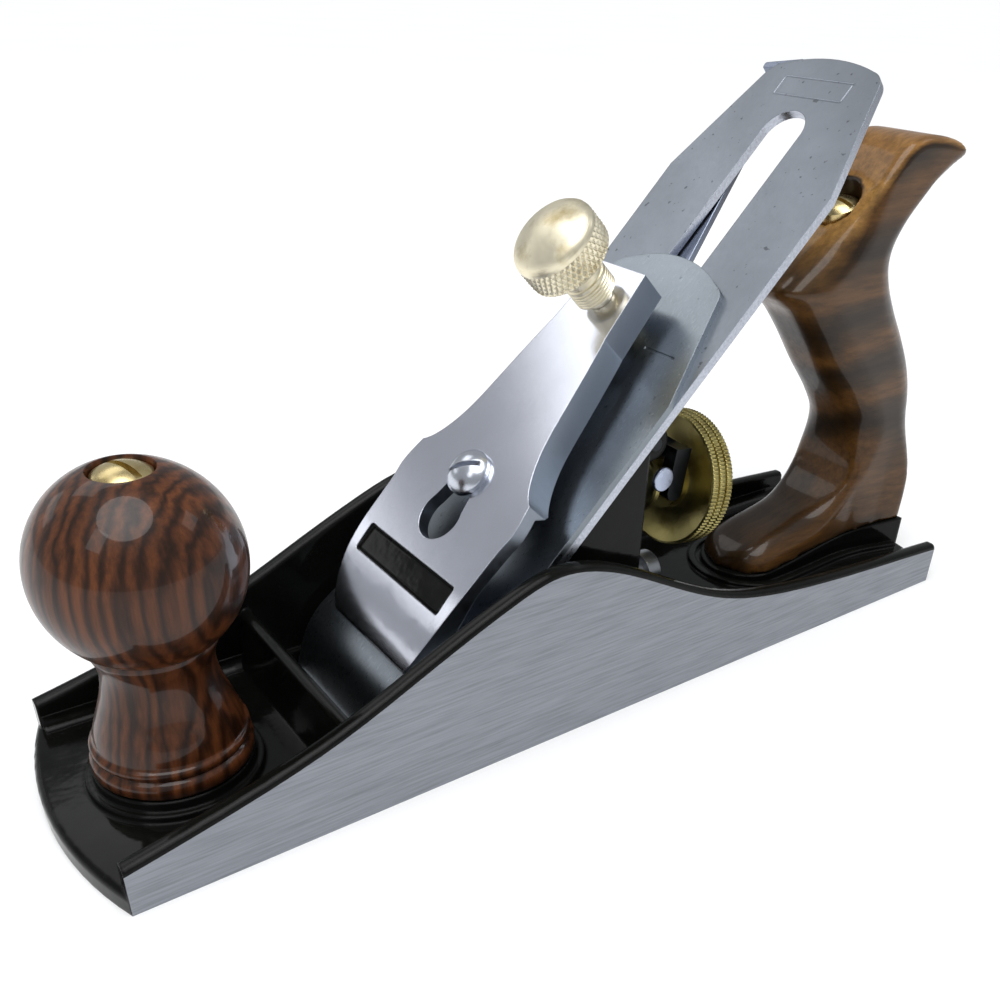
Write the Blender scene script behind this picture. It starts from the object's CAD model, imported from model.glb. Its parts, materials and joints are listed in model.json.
"""A bench plane: enamelled body, ground cheeks, nickel lever cap, brass screws, wooden handles."""

import json
import math

import bmesh
import bpy
import numpy as np
from mathutils import Matrix, Vector

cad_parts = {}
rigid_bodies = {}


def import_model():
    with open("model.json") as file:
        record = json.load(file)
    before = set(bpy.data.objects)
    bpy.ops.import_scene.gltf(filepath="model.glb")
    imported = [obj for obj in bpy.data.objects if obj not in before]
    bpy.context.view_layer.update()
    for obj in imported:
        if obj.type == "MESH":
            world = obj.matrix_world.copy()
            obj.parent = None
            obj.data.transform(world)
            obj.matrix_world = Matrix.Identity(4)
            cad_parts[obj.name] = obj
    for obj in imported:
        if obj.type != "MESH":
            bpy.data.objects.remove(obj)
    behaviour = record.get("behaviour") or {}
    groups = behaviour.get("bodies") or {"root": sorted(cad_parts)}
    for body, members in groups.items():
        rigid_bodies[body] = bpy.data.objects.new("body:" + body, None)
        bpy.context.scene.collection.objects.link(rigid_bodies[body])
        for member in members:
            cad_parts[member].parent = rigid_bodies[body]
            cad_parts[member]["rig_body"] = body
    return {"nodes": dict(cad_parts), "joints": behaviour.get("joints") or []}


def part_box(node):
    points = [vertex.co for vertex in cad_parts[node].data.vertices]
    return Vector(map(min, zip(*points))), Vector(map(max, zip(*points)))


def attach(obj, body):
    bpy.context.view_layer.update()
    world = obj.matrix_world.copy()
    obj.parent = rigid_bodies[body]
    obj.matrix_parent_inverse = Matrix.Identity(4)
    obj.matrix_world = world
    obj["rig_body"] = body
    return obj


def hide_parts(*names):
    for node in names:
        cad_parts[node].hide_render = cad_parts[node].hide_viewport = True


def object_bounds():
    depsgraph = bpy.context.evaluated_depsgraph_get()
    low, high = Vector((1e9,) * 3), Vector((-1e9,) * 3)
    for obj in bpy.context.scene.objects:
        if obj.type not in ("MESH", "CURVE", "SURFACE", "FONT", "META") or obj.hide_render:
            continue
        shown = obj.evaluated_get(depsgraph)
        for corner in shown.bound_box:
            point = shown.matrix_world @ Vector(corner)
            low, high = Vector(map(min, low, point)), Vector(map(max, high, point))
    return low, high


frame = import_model()
cad_low, cad_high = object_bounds()

# ------------------------------------------------------------------ places taken from the frame
MM = 0.001
COS45 = math.sqrt(0.5)
JOINTS = {joint["name"]: joint for joint in frame["joints"]}
clamp_x, _, clamp_z = JOINTS["iron_skew"]["pos_m"]
BED_X = clamp_x + clamp_z  # where the 45 degree bed meets the plane of the sole
HALF_WIDTH = cad_high.y
OFF_BED = Vector((COS45, 0, COS45))


def middle(node):
    """Centre of a CAD node's box."""
    low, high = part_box(node)
    return (low + high) / 2


def bed(u, y, v):
    """Point in the row frame, in metres, from millimetres up the bed, across it and out of it."""
    return Vector((BED_X - (u - v) * COS45 * MM, y * MM, (u + v) * COS45 * MM))


def smoothstep(low, high, value):
    """0 below low, 1 above high, smooth between; works on arrays."""
    share = np.clip((value - low) / (high - low), 0.0, 1.0)
    return share * share * (3.0 - 2.0 * share)


def through(points, steps):
    """Catmull-Rom curve through 2-D points, with steps between each two."""
    points = [np.array(p, float) for p in points]
    last = len(points) - 1
    found = []
    for index in range(last):
        a, d = points[max(index - 1, 0)], points[min(index + 2, last)]
        b, c = points[index], points[index + 1]
        for step in range(steps):
            t = step / steps
            straight = 2 * b + (c - a) * t
            curved = (2 * a - 5 * b + 4 * c - d) * t * t + (3 * b - a - 3 * c + d) * t**3
            found.append(0.5 * (straight + curved))
    found.append(points[-1])
    return [tuple(p) for p in found]


def arc(centre, radius, start, end, steps):
    """Points on a circle's arc, angles in degrees, both ends included."""
    found = []
    for step in range(steps + 1):
        angle = math.radians(start + (end - start) * step / steps)
        found.append((centre[0] + radius * math.cos(angle), centre[1] + radius * math.sin(angle)))
    return found


# ------------------------------------------------------------------ materials
LATHE_RINGS = 26000.0  # radians of the ring pattern for each metre of radius


class Shader:
    """A Principled material, with short calls for its nodes."""

    def __init__(self, name, **sockets):
        self.material = bpy.data.materials.new(name)
        self.material.use_nodes = True
        self.tree = self.material.node_tree
        self.surface = self.tree.nodes["Principled BSDF"]
        self.place = self.tree.nodes.new("ShaderNodeTexCoord").outputs["Object"]
        for socket, value in sockets.items():
            self.surface.inputs[socket.replace("_", " ")].default_value = value

    def node(self, kind, settings=None, **inputs):
        """Adds a node. Inputs go by name or as i0, i1, ...; a socket is linked, a number is set."""
        made = self.tree.nodes.new(kind)
        for key, value in (settings or {}).items():
            setattr(made, key, value)
        for key, value in inputs.items():
            numbered = key[0] == "i" and key[1:].isdigit()
            socket = made.inputs[int(key[1:]) if numbered else key]
            if isinstance(value, bpy.types.NodeSocket):
                self.tree.links.new(value, socket)
            else:
                socket.default_value = value
        return made

    def scaled(self, scale, turn=(0, 0, 0)):
        """Object coordinates, turned by degrees and stretched."""
        made = self.node("ShaderNodeMapping", i0=self.place)
        made.inputs["Scale"].default_value = scale
        made.inputs["Rotation"].default_value = [math.radians(a) for a in turn]
        return made.outputs[0]

    def noise(self, where, scale, detail=4.0, rough=0.55):
        """Noise, 0 to 1."""
        return self.node(
            "ShaderNodeTexNoise", Vector=where, Scale=scale, Detail=detail, Roughness=rough
        ).outputs[0]

    def bands(self, where, direction, scale, distortion, detail, detail_scale):
        """Wavy bands, 0 to 1, such as the year rings of a board."""
        made = self.node(
            "ShaderNodeTexWave",
            {"wave_type": "BANDS", "bands_direction": direction},
            Vector=where, Scale=scale, Distortion=distortion, Detail=detail,
        )
        made.inputs["Detail Scale"].default_value = detail_scale
        return made.outputs[0]

    def ramp(self, factor, *stops):
        """Colour ramp; each stop is (place, colour or grey)."""
        made = self.node("ShaderNodeValToRGB", i0=factor)
        band = made.color_ramp
        while len(band.elements) < len(stops):
            band.elements.new(0.5)
        for element, (place, colour) in zip(band.elements, stops):
            element.position = place
            if isinstance(colour, (int, float)):
                colour = (colour, colour, colour)
            element.color = (*colour, 1.0)
        return made.outputs[0]

    def math(self, operation, a, b=0.0):
        """One arithmetic step."""
        return self.node("ShaderNodeMath", {"operation": operation}, i0=a, i1=b).outputs[0]

    def vector(self, operation, a, b=(0.0, 0.0, 0.0)):
        """One vector step; gives the node, for its Vector or Value output."""
        return self.node("ShaderNodeVectorMath", {"operation": operation}, i0=a, i1=b)

    def mix(self, factor, a, b, kind="MIX"):
        """Two colours mixed, or multiplied."""
        made = self.node("ShaderNodeMix", {"data_type": "RGBA", "blend_type": kind}, i0=factor)
        for socket, value in ((made.inputs[6], a), (made.inputs[7], b)):
            if isinstance(value, bpy.types.NodeSocket):
                self.tree.links.new(value, socket)
            else:
                socket.default_value = (*value, 1.0) if len(value) == 3 else value
        return made.outputs[2]

    def times(self, a, b):
        """Two colours multiplied."""
        return self.mix(1.0, a, b, "MULTIPLY")

    def to(self, socket, value):
        """Links a socket of the surface."""
        self.tree.links.new(value, self.surface.inputs[socket])

    def bump(self, height, strength, distance, rounding=0.0):
        """Relief from a height; rounding also softens the look of sharp edges."""
        made = self.node("ShaderNodeBump", Height=height, Strength=strength, Distance=distance)
        if rounding:
            soft = self.node("ShaderNodeBevel", {"samples": 4}, Radius=rounding)
            self.tree.links.new(soft.outputs[0], made.inputs["Normal"])
        self.to("Normal", made.outputs[0])


def shade(colour, factor):
    """A colour made darker or lighter, never past 1."""
    return tuple(min(c * factor, 1.0) for c in colour)


def enamel():
    """Gloss black stove enamel, thick enough to look slightly wavy."""
    look = Shader("black_enamel", Roughness=0.1, Specular_IOR_Level=0.14)
    cloud = look.noise(look.place, 60.0, 3.0)
    deep, thin = (0.0028, 0.0031, 0.0026), (0.006, 0.0066, 0.0054)
    look.to("Base Color", look.ramp(cloud, (0.3, deep), (0.75, thin)))
    look.to("Roughness", look.ramp(look.noise(look.place, 240.0, 4.0), (0.3, 0.06), (0.8, 0.17)))
    waves = look.noise(look.place, 190.0, 2.0)
    look.bump(waves, 0.14, 0.0005, 0.0009)
    return look.material


def ground(name, colour, along, rough, metal):
    """Ground iron or steel, with fine scratches along the axis where along is small."""
    look = Shader(name, Metallic=metal)
    fine = look.noise(look.scaled(along), 1900.0, 4.0, 0.6)
    broad = look.noise(look.scaled([s * 0.25 for s in along]), 260.0, 4.0)
    base = look.ramp(fine, (0.32, shade(colour, 0.86)), (0.52, colour), (0.72, shade(colour, 1.1)))
    look.to("Base Color", look.times(base, look.ramp(broad, (0.35, 0.93), (0.65, 1.0))))
    look.to("Roughness", look.ramp(fine, (0.3, rough + 0.12), (0.7, rough - 0.08)))
    look.bump(fine, 0.07, 0.0001)
    return look.material


def satin_steel(name, colour, rough, specks=0.5):
    """Surface-ground plate with faint dark specks and soft clouding."""
    look = Shader(name, Metallic=1.0)
    cloud = look.noise(look.place, 45.0, 5.0, 0.6)
    grain = look.noise(look.scaled((1, 5, 1)), 700.0, 4.0, 0.7)
    pits = look.noise(look.place, 620.0, 2.0, 0.5)
    base = look.ramp(cloud, (0.3, shade(colour, 0.88)), (0.7, shade(colour, 1.08)))
    look.to("Base Color", look.times(base, look.ramp(pits, (0.26, 1.0 - specks), (0.31, 1.0))))
    look.to("Roughness", look.ramp(grain, (0.3, rough + 0.06), (0.7, rough - 0.05)))
    look.bump(grain, 0.06, 0.0001, 0.00025)
    return look.material


def plated(name, colour, rough, brushed=0.0):
    """Polished nickel plate with the faintest polishing marks."""
    look = Shader(name, Metallic=1.0)
    marks = look.noise(look.scaled((1, 14, 1), (0, 45, 0)), 420.0, 4.0, 0.7)
    cloud = look.noise(look.place, 70.0, 4.0)
    look.to("Base Color", look.ramp(cloud, (0.3, shade(colour, 0.93)), (0.7, colour)))
    look.to("Roughness", look.ramp(marks, (0.3, rough + 0.05 + brushed), (0.7, rough)))
    look.bump(marks, 0.05 + brushed, 0.0001, 0.0004)
    return look.material


def brass(name, colour, rough, ring_axis=None, ring_centre=(0, 0, 0)):
    """Turned brass; with an axis it has fine lathe rings about it."""
    look = Shader(name, Metallic=1.0)
    tarnish = look.noise(look.place, 150.0, 5.0, 0.6)
    dark = tuple(c * f for c, f in zip(colour, (0.62, 0.56, 0.42)))
    light = shade(colour, 1.1)
    look.to("Base Color", look.ramp(tarnish, (0.28, dark), (0.5, colour), (0.8, light)))
    wear = look.noise(look.place, 420.0, 3.0)
    look.to("Roughness", look.ramp(wear, (0.3, rough + 0.12), (0.7, rough)))
    if ring_axis:
        shifted = look.vector("SUBTRACT", look.place, ring_centre).outputs[0]
        crossed = look.vector("CROSS_PRODUCT", shifted, ring_axis).outputs[0]
        radius = look.vector("LENGTH", crossed).outputs["Value"]
        rings = look.math("SINE", look.math("MULTIPLY", radius, LATHE_RINGS))
        look.bump(rings, 0.12, 0.00008)
    return look.material


def lacquer(look, streaks, relief):
    """Sheen and fine relief that both woods share."""
    look.to("Roughness", look.ramp(streaks, (0.3, 0.42), (0.7, 0.28)))
    look.bump(streaks, relief, 0.0002)
    return look.material


def rosewood():
    """Lacquered red-brown wood; dark stripes stand upright on the knob."""
    look = Shader("rosewood", Coat_Weight=0.4, Coat_Roughness=0.05, Specular_IOR_Level=0.15)
    wobble = look.noise(look.scaled((1, 1, 0.22)), 55.0, 3.0, 0.5)
    rings = look.bands(look.scaled((1.0, -1.0, 0.03)), "DIAGONAL", 150.0, 6.0, 3.0, 1.4)
    streaks = look.noise(look.scaled((9, 9, 0.5)), 70.0, 6.0, 0.65)
    dark, middling, light = (0.03, 0.0105, 0.0045), (0.066, 0.0215, 0.0085), (0.118, 0.037, 0.0125)
    stripe = look.ramp(rings, (0.0, dark), (0.35, middling), (0.9, light))
    fine = look.ramp(streaks, (0.3, 0.45), (0.7, 1.25))
    mottled = look.ramp(wobble, (0.35, 0.7), (0.65, 1.1))
    look.to("Base Color", look.times(look.times(stripe, fine), mottled))
    return lacquer(look, streaks, 0.04)


def walnut():
    """Lacquered dark wood with orange streaks, lighter on top, where the grain ends."""
    look = Shader("walnut", Coat_Weight=0.35, Coat_Roughness=0.08, Specular_IOR_Level=0.15)
    grain = (0, -14, 0)
    rings = look.bands(look.scaled((0.35, 1.0, 1.0), grain), "Z", 15.0, 14.0, 4.0, 1.1)
    dark, middling, light = (0.022, 0.011, 0.004), (0.05, 0.024, 0.0075), (0.105, 0.047, 0.013)
    figure = look.ramp(rings, (0.0, dark), (0.5, middling), (0.95, light))
    end_grain = look.ramp(rings, (0.0, (0.24, 0.115, 0.03)), (0.8, (0.42, 0.22, 0.06)))
    streaks = look.noise(look.scaled((0.6, 5, 5), grain), 110.0, 6.0, 0.7)
    fine = look.ramp(streaks, (0.3, 0.5), (0.72, 1.3))
    height = look.node("ShaderNodeSeparateXYZ", i0=look.place).outputs[2]
    normal = look.node("ShaderNodeNewGeometry").outputs["Normal"]
    up = look.node("ShaderNodeSeparateXYZ", i0=normal).outputs[2]
    faces_up = look.ramp(up, (0.25, 0.0), (0.55, 1.0))
    near_top = look.ramp(height, (0.0, 0.0), (0.083, 0.0), (0.097, 1.0))
    top = look.math("MULTIPLY", faces_up, near_top)
    look.to("Base Color", look.mix(top, look.times(figure, fine), look.times(end_grain, fine)))
    return lacquer(look, streaks, 0.05)


def floor_look():
    """Smooth pale board, just uneven enough not to be one flat colour."""
    look = Shader("floor", Roughness=0.7)
    look.to("Base Color", look.ramp(look.noise(look.place, 6.0, 2.0), (0.3, 0.95), (0.7, 0.975)))
    return look.material


ENAMEL = enamel()
GROUND = ground("ground_iron", (0.295, 0.312, 0.345), (0.035, 1.0, 1.0), 0.5, 0.8)
SOLE_FACE = ground("ground_sole", (0.42, 0.42, 0.45), (0.06, 1.0, 1.0), 0.4, 0.9)
IRON = satin_steel("blade_steel", (0.225, 0.245, 0.275), 0.36)
IRON_EDGE = ground("blade_edge", (0.5, 0.53, 0.6), (1.0, 0.1, 1.0), 0.3, 1.0)
CAP_IRON = satin_steel("cap_iron_steel", (0.235, 0.262, 0.29), 0.3, 0.35)
NICKEL = plated("nickel_plate", (0.66, 0.68, 0.76), 0.15)
NICKEL_SIDE = plated("nickel_brushed", (0.27, 0.3, 0.35), 0.28, 0.1)
SCREW_NICKEL = plated("screw_nickel", (0.6, 0.63, 0.7), 0.22)
STEEL = satin_steel("bright_steel", (0.22, 0.25, 0.32), 0.3, 0.3)
DARK_STEEL = satin_steel("dark_steel", (0.035, 0.038, 0.042), 0.35, 0.3)
ZINC = satin_steel("zinc_plate", (0.45, 0.47, 0.5), 0.36, 0.4)
THREAD = brass("brass_fittings", (0.62, 0.5, 0.25), 0.22)


# ------------------------------------------------------------------ mesh helpers
def finish_mesh(piece, sharp):
    """Outward normals and smooth faces, with edges kept where faces turn by over sharp degrees."""
    mesh = bmesh.new()
    mesh.from_mesh(piece.data)
    bmesh.ops.remove_doubles(mesh, verts=mesh.verts, dist=1e-7)
    bmesh.ops.recalc_face_normals(mesh, faces=mesh.faces)
    for face in mesh.faces:
        face.smooth = True
    for edge in mesh.edges:
        if len(edge.link_faces) == 2:
            edge.smooth = edge.calc_face_angle(0.0) < math.radians(sharp)
    mesh.to_mesh(piece.data)
    mesh.free()


def make(name, verts, faces, body, slot, *materials, sharp=35.0):
    """A new piece that rides on a body."""
    data = bpy.data.meshes.new(name)
    data.from_pydata([tuple(v) for v in verts], [], faces)
    piece = bpy.data.objects.new(name, data)
    bpy.context.scene.collection.objects.link(piece)
    for material in materials:
        data.materials.append(material)
    finish_mesh(piece, sharp)
    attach(piece, body)
    return piece


def lathe(profile, origin, axis, across, segments, ripple=None):
    """Verts and faces of a turned shape; profile is (radius, height) in mm from end to end."""
    axis = Vector(axis).normalized()
    across = Vector(across).normalized()
    third = axis.cross(across)
    verts, rows = [], []
    for radius, height in profile:
        row = []
        count = segments if radius > 1e-6 else 1
        for index in range(count):
            angle = 2 * math.pi * index / segments
            here = radius + (ripple(angle, radius, height) if ripple else 0.0)
            around = across * math.cos(angle) + third * math.sin(angle)
            row.append(len(verts))
            verts.append(Vector(origin) + (around * here + axis * height) * MM)
        rows.append(row)
    faces = []
    for low, high in zip(rows, rows[1:]):
        for index in range(segments):
            after = (index + 1) % segments
            corners = [low[index % len(low)], low[after % len(low)]]
            corners += [high[after % len(high)], high[index % len(high)]]
            faces.append(tuple(dict.fromkeys(corners)))
    for row in (rows[0], rows[-1]):
        if len(row) > 1:
            faces.append(tuple(row))
    return verts, faces


def loft(rings):
    """Verts and faces through equal closed rings, with both ends closed."""
    count = len(rings[0])
    verts = [p for ring in rings for p in ring]
    faces = []
    for row in range(0, len(verts) - count, count):
        for index in range(count):
            after = (index + 1) % count
            faces.append((row + index, row + after, row + count + after, row + count + index))
    faces.append(tuple(range(count)))
    faces.append(tuple(len(verts) - count + index for index in range(count)))
    return verts, faces


def joined(parts):
    """One list of verts and faces from several."""
    verts, faces = [], []
    for part_verts, part_faces in parts:
        start = len(verts)
        verts += part_verts
        faces += [tuple(start + index for index in face) for face in part_faces]
    return verts, faces


def softened(node, width, slot, *materials, pick=None):
    """A copy of a CAD node that stands for it, its edges rounded by width mm (0 for none)."""
    source = frame["nodes"][node]
    crease = math.radians(32.0)
    data = source.data.copy()
    data.materials.clear()
    piece = bpy.data.objects.new(node + "_soft", data)
    bpy.context.scene.collection.objects.link(piece)
    mesh = bmesh.new()
    mesh.from_mesh(data)
    bmesh.ops.remove_doubles(mesh, verts=mesh.verts, dist=2e-6)
    if width:
        flat = math.radians(0.6)
        bmesh.ops.dissolve_limit(mesh, angle_limit=flat, verts=mesh.verts, edges=mesh.edges)
    for face in mesh.faces:
        face.smooth = True
        face.material_index = pick(face) if pick else 0
    for edge in mesh.edges:
        if len(edge.link_faces) == 2:
            edge.smooth = edge.calc_face_angle(0.0) < crease
    mesh.to_mesh(data)
    mesh.free()
    for material in materials:
        data.materials.append(material)
    if width:
        bevel = piece.modifiers.new("edges", "BEVEL")
        bevel.width = width * MM
        bevel.segments = 2
        bevel.limit_method = "ANGLE"
        bevel.angle_limit = crease
        bevel.miter_outer = "MITER_ARC"
        weighted = piece.modifiers.new("shading", "WEIGHTED_NORMAL")
        weighted.keep_sharp = True
    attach(piece, source["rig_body"])
    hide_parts(node)
    return piece


def repaint(material, *nodes):
    """CAD nodes keep their meshes and get a better material."""
    for node in nodes:
        data = frame["nodes"][node].data
        data.materials.clear()
        data.materials.append(material)


# ------------------------------------------------------------------ knob
knob_low, knob_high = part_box("front_knob")
KNOB = Vector((middle("front_knob").x, 0, 0))
KNOB_FOOT = knob_low.z / MM
KNOB_TOP = knob_high.z / MM
NUT_SEAT_R = 6.4
BALL_R = (knob_high.x - knob_low.x) / 2 / MM
BALL_Z = KNOB_TOP - math.sqrt(BALL_R**2 - NUT_SEAT_R**2)
NECK_R, NECK_Z = 12.6, 36.6  # where the neck runs into the ball

ring_foot = [(0.0, 0.0), (15.7, 0.0), (16.4, 0.7), (16.5, 2.4)]
ring_foot += [(16.3, 3.2), (15.7, 3.7), (15.3, 4.1), (15.35, 4.5)]
knob_profile = [(radius, KNOB_FOOT + rise) for radius, rise in ring_foot]
knob_profile += arc((14.9, KNOB_FOOT + 5.6), 1.15, -55, 65, 8)
neck = [(15.0, KNOB_FOOT + 7.1), (14.5, 18.2), (13.2, 22.0), (11.9, 26.0)]
neck += [(11.2, 30.0), (11.4, 33.2), (NECK_R, NECK_Z)]
knob_profile += through(neck, 6)[:-1]
ball_start = math.degrees(math.asin((NECK_Z - BALL_Z) / BALL_R))
ball_end = math.degrees(math.acos(NUT_SEAT_R / BALL_R))
for radius, height in arc((0, BALL_Z), BALL_R, ball_start, ball_end, 34):
    knob_profile.append((max(radius, NECK_R) if height < NECK_Z + 0.1 else radius, height))
nut_seat = [(6.2, 0.02), (5.95, -0.35), (5.9, -3.0), (0.0, -3.0)]
knob_profile += [(radius, KNOB_TOP + rise) for radius, rise in nut_seat]
verts, faces = lathe(knob_profile, KNOB, (0, 0, 1), (1, 0, 0), 128)
knob = make("knob_turned", verts, faces, "body", "rosewood", rosewood(), sharp=50.0)
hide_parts("front_knob")

# ------------------------------------------------------------------ tote
TOTE_OUTLINE = through(
    [
        (-60.4, 2.0), (-61.0, 8.0), (-64.6, 12.4), (-72.0, 15.4), (-82.0, 17.8), (-91.5, 20.6),
        (-98.2, 26.0), (-100.5, 33.0), (-99.2, 41.0), (-93.5, 49.8), (-85.4, 59.0), (-77.6, 68.6),
        (-70.6, 76.2), (-65.4, 80.0), (-62.6, 82.2), (-62.2, 84.4), (-64.6, 86.4), (-73.0, 92.0),
        (-83.0, 100.4), (-90.4, 109.2), (-96.0, 114.6), (-101.5, 116.6), (-108.5, 116.3),
        (-115.0, 115.0), (-118.3, 113.4), (-118.5, 111.4), (-113.4, 108.8), (-107.0, 104.6),
        (-101.8, 98.2), (-99.8, 91.4), (-101.5, 84.0), (-106.0, 76.2), (-112.0, 67.8),
        (-117.6, 58.6), (-121.0, 49.0), (-122.1, 38.0), (-121.9, 25.0), (-121.4, 14.0),
        (-121.2, 2.0),
    ],
    5,
)
rod_low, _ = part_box("tote_bolt")
ROD_FOOT = Vector((rod_low.x + 3.0 * MM, 0, rod_low.z)) / MM
NUT_MIDDLE = middle("tote_nut") / MM
NUT_WELL_R, NUT_WELL_FLOOR = 5.9, -1.4
FOOT_TOE_X, FOOT_TOE_HALF = -70.0, 12.0


def surface_net(field, low, step):
    """Verts and faces of the surface where a sampled field crosses zero."""
    counts = np.array(field.shape) - 1
    total = np.zeros((*counts, 3))
    hits = np.zeros(counts)
    crossings = []
    for axis in range(3):
        a = np.take(field, range(field.shape[axis] - 1), axis)
        b = np.take(field, range(1, field.shape[axis]), axis)
        cross = (a < 0) != (b < 0)
        share = np.where(cross, a / np.where(cross, a - b, 1.0), 0.0)
        crossings.append((cross, a < 0))
        others = [k for k in range(3) if k != axis]
        for shift_a in (0, 1):
            for shift_b in (0, 1):
                window = [slice(None)] * 3
                window[others[0]] = slice(shift_a, shift_a + counts[others[0]])
                window[others[1]] = slice(shift_b, shift_b + counts[others[1]])
                here = cross[tuple(window)]
                hits += here
                total[..., axis] += share[tuple(window)]
                total[..., others[0]] += here * shift_a
                total[..., others[1]] += here * shift_b
    used = hits > 0
    number = np.full(counts, -1)
    number[used] = np.arange(used.sum())
    cells = np.argwhere(used)
    verts = low + step * (cells + total[used] / hits[used][:, None])
    faces = []
    for axis, (cross, below) in enumerate(crossings):
        one, two = [k for k in range(3) if k != axis]
        for cell in np.argwhere(cross):
            if 0 < cell[one] < counts[one] and 0 < cell[two] < counts[two]:
                quad = []
                for shift_a, shift_b in ((-1, -1), (0, -1), (0, 0), (-1, 0)):
                    corner = cell.copy()
                    corner[one] += shift_a
                    corner[two] += shift_b
                    quad.append(int(number[tuple(corner)]))
                faces.append(tuple(quad))
    return [Vector(v) * MM for v in verts], faces


def distance_to_outline(outline, x, z):
    """Signed distance from points to a closed outline, negative inside."""
    best = np.full(x.shape, 1e9)
    inside = np.zeros(x.shape, bool)
    for (ax, az), (bx, bz) in zip(outline, outline[1:] + outline[:1]):
        run_x, run_z = bx - ax, bz - az
        share = np.clip(((x - ax) * run_x + (z - az) * run_z) / (run_x**2 + run_z**2 + 1e-12), 0, 1)
        best = np.minimum(best, np.hypot(x - ax - share * run_x, z - az - share * run_z))
        if az != bz:
            inside ^= ((az > z) != (bz > z)) & (x < (bx - ax) * (z - az) / (bz - az) + ax)
    return np.where(inside, -best, best)


def tote_mesh():
    """The tote as a rounded slab whose thickness and rounding change from foot to horn."""
    step = 0.8
    low = np.array([-124.0, -18.0, 3.0])
    high = np.array([-57.0, 18.0, 119.0])
    grid = [np.arange(a, b, step) for a, b in zip(low, high)]
    x, z = np.meshgrid(grid[0], grid[2], indexing="ij")
    flat = distance_to_outline(TOTE_OUTLINE, x, z)
    foot = np.interp(x, [-122, -118, -112, -101, -84, -70], [15.4, 14.4, 12.7, 11.1, 11.5, 12.0])
    nose = FOOT_TOE_HALF * np.sqrt(np.clip(1.0 - ((x - FOOT_TOE_X) / 10.4) ** 2, 0.0, 1.0))
    foot = np.where(x > FOOT_TOE_X, nose, foot)
    grip = np.interp(z, [30, 45, 70, 95, 118], [13.0, 12.2, 11.8, 11.6, 10.4])
    half = foot + (grip - foot) * smoothstep(16.0, 42.0, z)
    handle = smoothstep(24.0, 46.0, z) * (1.0 - smoothstep(86.0, 108.0, z - 0.25 * (x + 95.0)))
    toe = smoothstep(-104.0, -84.0, x) * (1.0 - smoothstep(22.0, 40.0, z))
    rounding = 2.2 + 6.6 * handle + 5.0 * toe
    rounding = np.minimum(rounding, np.maximum(half, 0.5) * 0.98)
    y = np.abs(grid[1])[None, :, None]
    across = (flat + rounding)[:, None, :]
    out = y - (half - rounding)[:, None, :]
    field = np.minimum(np.maximum(across, out), 0.0)
    field = field + np.hypot(np.maximum(across, 0.0), np.maximum(out, 0.0)) - rounding[:, None, :]
    slope = (12.4 - 6.4) / (121.0 - 60.0)  # of the seat that the foot is cut to
    seat = 6.45 + (-60.0 - x) * slope
    field = np.maximum(field, ((seat - z) * math.cos(math.atan(slope)))[:, None, :])
    lean = (NUT_MIDDLE - ROD_FOOT).normalized()
    away_x = x - NUT_MIDDLE.x
    away_z = z - NUT_MIDDLE.z
    along = away_x * lean.x + away_z * lean.z
    side = away_x * lean.z - away_z * lean.x
    radial = np.hypot(side[:, None, :], y) - NUT_WELL_R
    well = np.maximum(radial, (NUT_WELL_FLOOR - along)[:, None, :])
    field = np.maximum(field, -well)
    return surface_net(field, low, step)


verts, faces = tote_mesh()
tote = make("tote_shaped", verts, faces, "body", "walnut", walnut(), sharp=60.0)
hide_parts("rear_tote")

# ------------------------------------------------------------------ thumb screw
thumb_x, _, thumb_z = JOINTS["thumb_screw_turn"]["pos_m"]
THUMB_U = (BED_X - thumb_x + thumb_z) * COS45 / MM
KNURL_LOW, KNURL_HIGH, KNURL_RUN = 28.9, 34.3, 5.4
KNURL_COUNT, KNURL_PITCH, KNURL_DEPTH = 46, 2.6, 0.55


def thumb_ripple(angle, radius, height):
    """Pyramids of the diamond knurl, cut into the head's rim."""
    if not (KNURL_LOW <= height <= KNURL_HIGH and radius > 9.5):
        return 0.0
    a = (angle / (2 * math.pi) * KNURL_COUNT + height / KNURL_PITCH) % 1.0
    b = (angle / (2 * math.pi) * KNURL_COUNT - height / KNURL_PITCH) % 1.0
    return KNURL_DEPTH * (min(1 - abs(2 * a - 1), 1 - abs(2 * b - 1)) - 1.0)


thumb_profile = [(0.0, 4.0), (2.2, 4.0), (2.95, 4.8), (2.95, 17.5), (4.5, 17.6), (4.9, 17.9)]
for turn in range(5):
    start = 18.3 + 0.85 * turn
    thumb_profile += [(4.9, start), (4.62, start + 0.25), (4.9, start + 0.5)]
thumb_profile += [(4.9, 23.0), (4.55, 23.3), (4.55, 23.9), (4.9, 24.2), (4.9, 28.0)]
thumb_profile += [(9.0, 28.1), (9.5, 28.6)]
thumb_profile += [(9.75, KNURL_LOW + KNURL_RUN * k / 26) for k in range(27)]
thumb_profile += [(9.6, 34.5), (9.6, 34.9), (9.35, 35.7), (8.7, 36.5), (7.7, 37.15), (7.1, 37.4)]
thumb_profile += [(5.4, 38.1), (3.6, 38.7), (1.8, 39.1), (0.0, 39.25)]
thumb_brass = brass("thumb_brass", (0.86, 0.79, 0.6), 0.32, OFF_BED, bed(THUMB_U, 0, 0))
verts, faces = lathe(thumb_profile, bed(THUMB_U, 0, 0), OFF_BED, (0, 1, 0), 276, thumb_ripple)
thumb = make("thumb_screw_turned", verts, faces, "thumb", "brass", thumb_brass, sharp=28.0)
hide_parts("thumb_screw")

# ------------------------------------------------------------------ depth wheel
wheel_joint = JOINTS["depth_wheel_turn"]
WHEEL = Vector(wheel_joint["pos_m"])
WHEEL_AXIS = Vector(wheel_joint["axis"])
BAND_PITCH, TEETH = 2.4, 112


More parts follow.
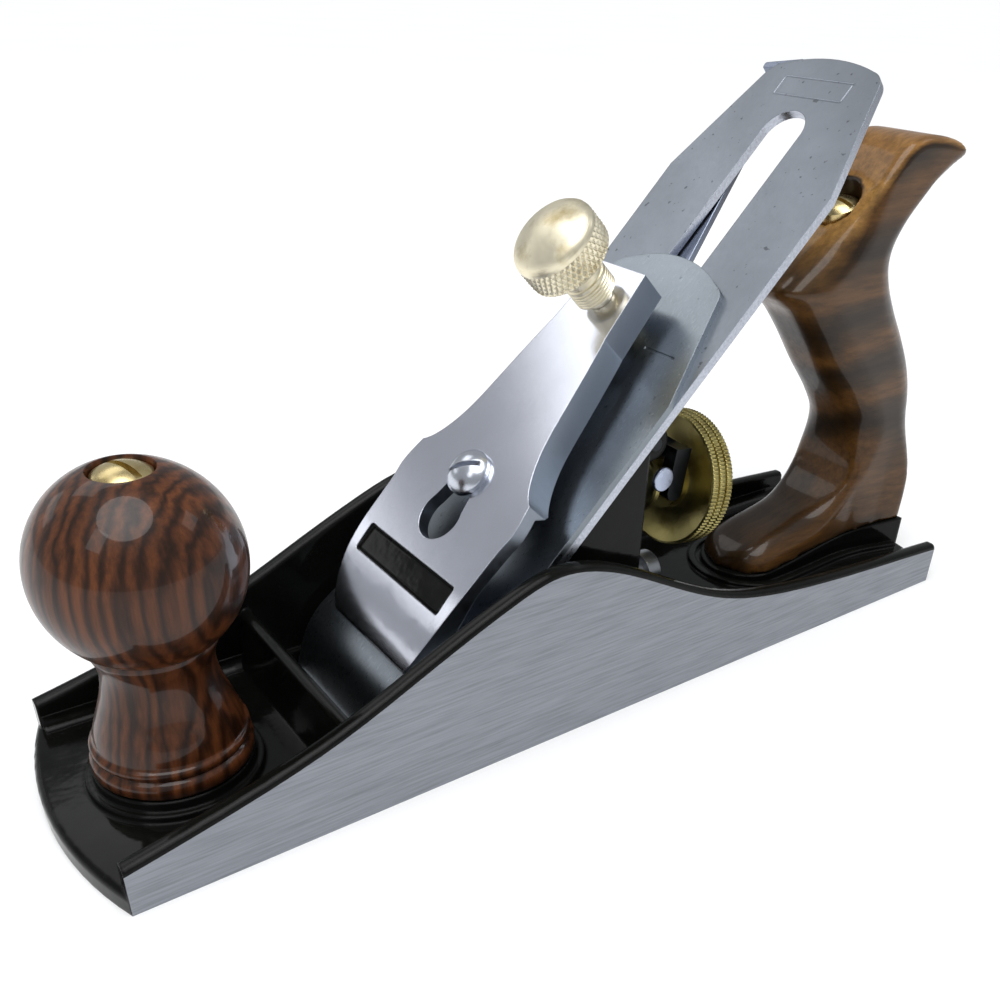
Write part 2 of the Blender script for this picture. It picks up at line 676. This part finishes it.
def wheel_ripple(angle, radius, height):
    """Straight teeth on the rim's raised bands."""
    band = (-height / BAND_PITCH) % 1.0
    if not (-7.1 < height < -0.1 and radius > 16.6 and 0.1 < band < 0.9):
        return 0.0
    tooth = (angle / (2 * math.pi) * TEETH) % 1.0
    return 0.16 * (abs(tooth * 2 - 1) * 2 - 1.6)


wheel_profile = [(3.06, 10.0), (7.0, 10.0), (7.5, 9.6), (7.5, 8.4)]
wheel_profile += [(4.9, 8.4), (4.9, 1.4), (7.5, 1.4), (7.5, -1.4)]
wheel_profile += [(8.0, -1.7), (10.0, -1.9), (12.0, -1.8), (14.0, -1.3), (15.6, -0.5), (16.4, -0.1)]
for band in range(3):
    top = -BAND_PITCH * band
    wheel_profile += [(16.5, top - 0.15), (17.0, top - 0.3)]
    wheel_profile += [(17.15, top - drop) for drop in (0.55, 1.0, 1.4, 1.85)]
    wheel_profile += [(17.0, top - 2.1), (16.5, top - 2.25)]
wheel_profile += [(15.6, -7.2), (13.0, -6.6), (8.0, -6.5), (6.6, -7.0), (3.06, -7.0)]
wheel_brass = brass("wheel_brass", (0.42, 0.36, 0.14), 0.3, WHEEL_AXIS, WHEEL)
verts, faces = lathe(wheel_profile, WHEEL, WHEEL_AXIS, (0, 1, 0), 336, wheel_ripple)
wheel = make("depth_wheel_turned", verts, faces[:-2], "wheel", "brass", wheel_brass, sharp=30.0)
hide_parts("depth_wheel")

# ------------------------------------------------------------------ pieces that keep their CAD shape


def iron_side(face):
    """1 on a plate's narrow edges, 0 on its broad faces."""
    return 0 if abs(face.normal.dot(OFF_BED)) > 0.9 else 1


def lever_side(face):
    """1 on the lever cap's upright walls."""
    return 1 if abs(face.normal.dot(OFF_BED)) < 0.3 else 0


softened("plane_iron", 0.22, "iron_steel", IRON, IRON_EDGE, pick=iron_side)
softened("lever_cap", 0.45, "plated", NICKEL, NICKEL_SIDE, pick=lever_side)
softened("frog", 0, "enamelled_iron", ENAMEL)
softened("lever_cap_screw", 0.2, "plated", SCREW_NICKEL)
softened("knob_nut", 0.15, "brass", THREAD)
softened("tote_nut", 0.15, "brass", THREAD)
softened("lateral_lever", 0.2, "bright_steel", STEEL)
softened("depth_yoke", 0, "bright_steel", DARK_STEEL)
repaint(DARK_STEEL, "yoke_pivot_pin")
repaint(STEEL, "depth_stud", "lateral_pivot", "lateral_roller", "roller_rivet", "cap_iron_screw")
repaint(CAP_IRON, "cap_iron")
repaint(ZINC, "frog_screws", "frog_washers", "frog_adjusting_plate", "plate_screw")
repaint(ZINC, "frog_adjusting_screw", "knob_bolt", "tote_bolt")


# ------------------------------------------------------------------ small added pieces
def bed_slab(u, y, v):
    """Verts and faces of a block in bed coordinates; each argument is (low, high) in mm."""
    verts = [bed(a, b, c) for a in u for b in y for c in v]
    ends = [(0, 1, 3, 2), (4, 6, 7, 5)]
    sides = [(0, 4, 5, 1), (2, 3, 7, 6), (0, 2, 6, 4), (1, 5, 7, 3)]
    return verts, ends + sides


LABEL_U, LABEL_TOP = 35.7, 14.62  # a blank panel on the lever cap, with a raised rim
LABEL_HALF_U, LABEL_HALF_Y, RIM = 3.45, 17.85, 0.35
across = (-LABEL_HALF_Y, LABEL_HALF_Y)
rim_v = (LABEL_TOP - 0.1, LABEL_TOP + 0.45)
inner = (LABEL_U - LABEL_HALF_U + RIM, LABEL_U + LABEL_HALF_U - RIM)
field_v = (LABEL_TOP - 0.3, LABEL_TOP)
label = [bed_slab((LABEL_U - LABEL_HALF_U, LABEL_U + LABEL_HALF_U), across, field_v)]
for edge in (LABEL_U - LABEL_HALF_U, LABEL_U + LABEL_HALF_U - RIM):
    label.append(bed_slab((edge, edge + RIM), across, rim_v))
for edge in (-LABEL_HALF_Y, LABEL_HALF_Y - RIM):
    label.append(bed_slab(inner, (edge, edge + RIM), rim_v))
make("lever_label", *joined(label), "lever", "enamelled_iron", ENAMEL)

PRONG = WHEEL + WHEEL_AXIS * 8.8 * MM + Vector((0, 0, 3.6 * MM))
prong_profile = [(0.0, 8.1), (3.1, 8.1), (3.1, 8.8), (2.85, 9.05), (0.0, 9.05)]
verts, faces = lathe(prong_profile, PRONG, (0, 1, 0), (1, 0, 0), 48)
prong_steel = satin_steel("prong_steel", (0.5, 0.56, 0.72), 0.3, 0.2)
make("yoke_prong_end", verts, faces, "yoke", "bright_steel", prong_steel)

# ------------------------------------------------------------------ body casting
def sole_pick(face):
    """2 on the ground underside, 1 on the ground outer cheeks, 0 on the enamel elsewhere."""
    centre = face.calc_center_median()
    if face.normal.z < -0.99 and centre.z < 0.5 * MM:
        return 2
    return 1 if abs(face.normal.y) > 0.99995 and abs(centre.y) > HALF_WIDTH - 0.02 * MM else 0


softened("sole_body", 0, "enamelled_iron", ENAMEL, GROUND, SOLE_FACE, pick=sole_pick)


def cheek_fillet(side, start, end):
    """Concave fillet between the deck and one cheek, from start to end along x in mm."""
    wall, deck, radius = HALF_WIDTH / MM - 3.8, 4.8, 3.0
    section = [(wall + 0.5, deck - 0.5), (wall + 0.5, deck + radius)]
    section += arc((wall - radius, deck + radius), radius, 0, -90, 10)
    section += [(wall - radius, deck - 0.5)]
    rings = [[Vector((x, side * y, z)) * MM for y, z in section] for x in (start, end)]
    return loft(rings)


runs = [cheek_fillet(side, *run) for side in (-1, 1) for run in ((63.0, 115.9), (-115.9, 40.0))]
make("deck_fillets", *joined(runs), "body", "enamelled_iron", ENAMEL)

# ------------------------------------------------------------------ floor, lights and camera
bpy.ops.mesh.primitive_plane_add(size=60.0, location=(0, 0, 0))
floor = bpy.context.object
floor.name = "floor"
floor.data.materials.append(floor_look())

world = bpy.data.worlds.new("studio")
bpy.context.scene.world = world
world.use_nodes = True
room = world.node_tree
backdrop = room.nodes["Background"]
AMBIENT = 0.42
backdrop.inputs[0].default_value = (0.94, 0.97, 1.0, 1.0)
path = room.nodes.new("ShaderNodeLightPath")
strength = room.nodes.new("ShaderNodeMapRange")  # white behind the part, dim in its reflections
strength.inputs["To Min"].default_value = AMBIENT
strength.inputs["To Max"].default_value = 1.0
room.links.new(path.outputs["Is Camera Ray"], strength.inputs["Value"])
room.links.new(strength.outputs[0], backdrop.inputs[1])

overhead = bpy.data.lights.new("overhead", "SUN")
overhead.energy = 2.3
overhead.angle = math.radians(50.0)
overhead_holder = bpy.data.objects.new("overhead", overhead)
overhead_holder.rotation_euler = (math.radians(-12.0), math.radians(8.0), 0.0)
bpy.context.scene.collection.objects.link(overhead_holder)


def softbox(name, azimuth, elevation, size, radiance, reach=0.9):
    """An area light facing the middle of the part, placed by its direction in degrees."""
    turn, lift = math.radians(azimuth), math.radians(elevation)
    level = math.cos(lift)
    away = Vector((math.cos(turn) * level, math.sin(turn) * level, math.sin(lift)))
    aim = Vector((0.0, 0.0, 0.05))
    light = bpy.data.lights.new(name, "AREA")
    light.shape = "RECTANGLE"
    light.size, light.size_y = size
    light.energy = radiance * math.pi * size[0] * size[1]
    holder = bpy.data.objects.new(name, light)
    holder.location = aim + away * reach
    holder.rotation_euler = away.to_track_quat("Z", "Y").to_euler()
    bpy.context.scene.collection.objects.link(holder)


softbox("bed_side", -74.0, 47.0, (0.5, 0.34), 1.5)
softbox("lip_side", -54.0, 18.0, (0.34, 0.16), 1.1)
softbox("camera_left", 20.0, 42.0, (0.22, 0.3), 2.2)
softbox("heel", 160.0, 40.0, (0.3, 0.2), 1.5)

CAMERA_PLACE = Vector((0.1384, 0.1792, 0.1497))
HEADING = math.radians(143.86)
ELEVATION = math.radians(32.96)
ROLL = math.radians(1.97)
FOCAL_MM, SENSOR_MM = 37.73, 36.0
FLAT = math.cos(ELEVATION)
backward = Vector((math.sin(HEADING) * FLAT, -math.cos(HEADING) * FLAT, math.sin(ELEVATION)))
level = Vector((0, 0, 1)).cross(backward).normalized()
upright = backward.cross(level)
camera_right = level * math.cos(ROLL) + upright * math.sin(ROLL)
camera_up = upright * math.cos(ROLL) - level * math.sin(ROLL)
lens = bpy.data.cameras.new("camera")
lens.sensor_width = SENSOR_MM
lens.lens = FOCAL_MM
lens.shift_x = -0.0196
lens.shift_y = 0.1378
lens.clip_start = 0.01
camera = bpy.data.objects.new("camera", lens)
rotation = Matrix((camera_right, camera_up, backward)).transposed()
camera.matrix_world = Matrix.Translation(CAMERA_PLACE) @ rotation.to_4x4()
bpy.context.scene.collection.objects.link(camera)
bpy.context.scene.camera = camera
bpy.context.scene.view_settings.view_transform = "Standard"
